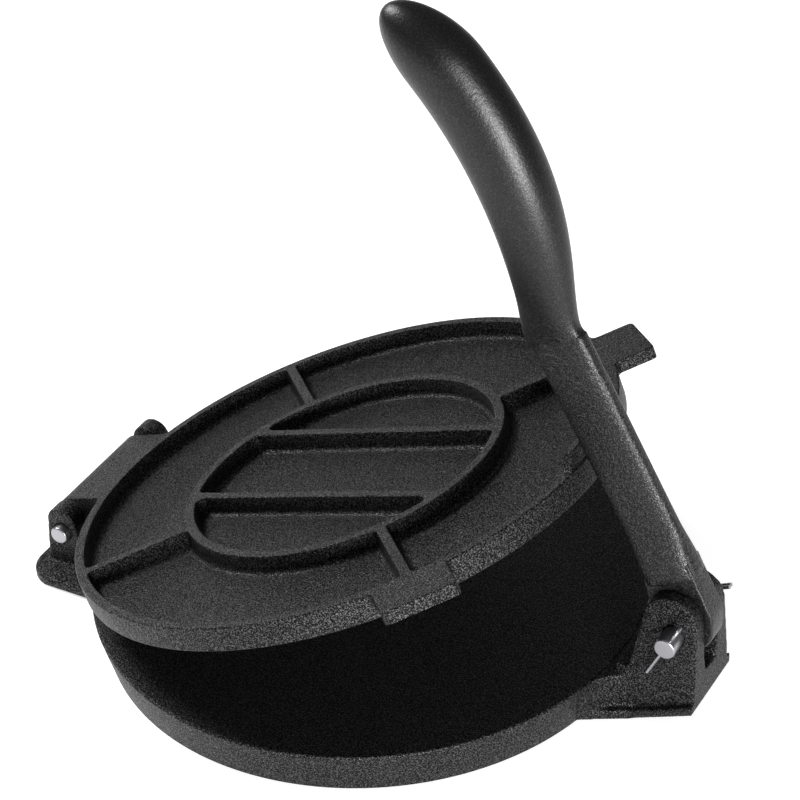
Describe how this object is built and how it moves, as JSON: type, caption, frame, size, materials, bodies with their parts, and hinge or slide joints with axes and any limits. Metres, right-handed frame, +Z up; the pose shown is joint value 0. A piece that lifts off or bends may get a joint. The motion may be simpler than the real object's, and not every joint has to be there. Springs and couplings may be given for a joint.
{
  "type": "tortilla press",
  "caption": "Round cast iron tortilla press: heavy base, ribbed lid hinged at the back and a curved lever pinned in a bracket at the front.",
  "frame": {"origin": "on the table, under the centre of the round base and lid", "axes": "+X from the lid hinge towards the lever bracket, +Z up, Y along both pins"},
  "size_m": [0.335, 0.26, 0.3184],
  "materials": {
    "black_iron": "sand-cast iron with a baked black seasoning coat, satin",
    "bright_steel": "bright drawn steel"
  },
  "bodies": {
    "base_body": {"base": "black_iron", "hinge_pin": "bright_steel", "lever_pin": "bright_steel", "split_pins": "bright_steel"},
    "lid_body": {"lid": "black_iron"},
    "lever_body": {"lever": "black_iron"}
  },
  "joints": [
    {"name": "lid_hinge", "type": "hinge", "parent": "base_body", "child": "lid_body", "pos_m": [-0.1457, 0, 0.0233], "axis": [0, -1, 0], "range_deg": [-18.2, 22.8]},
    {"name": "lever_hinge", "type": "hinge", "parent": "base_body", "child": "lever_body", "pos_m": [0.15923, 0, 0.0487], "axis": [0, 1, 0], "range_deg": [0, 115]}
  ]
}
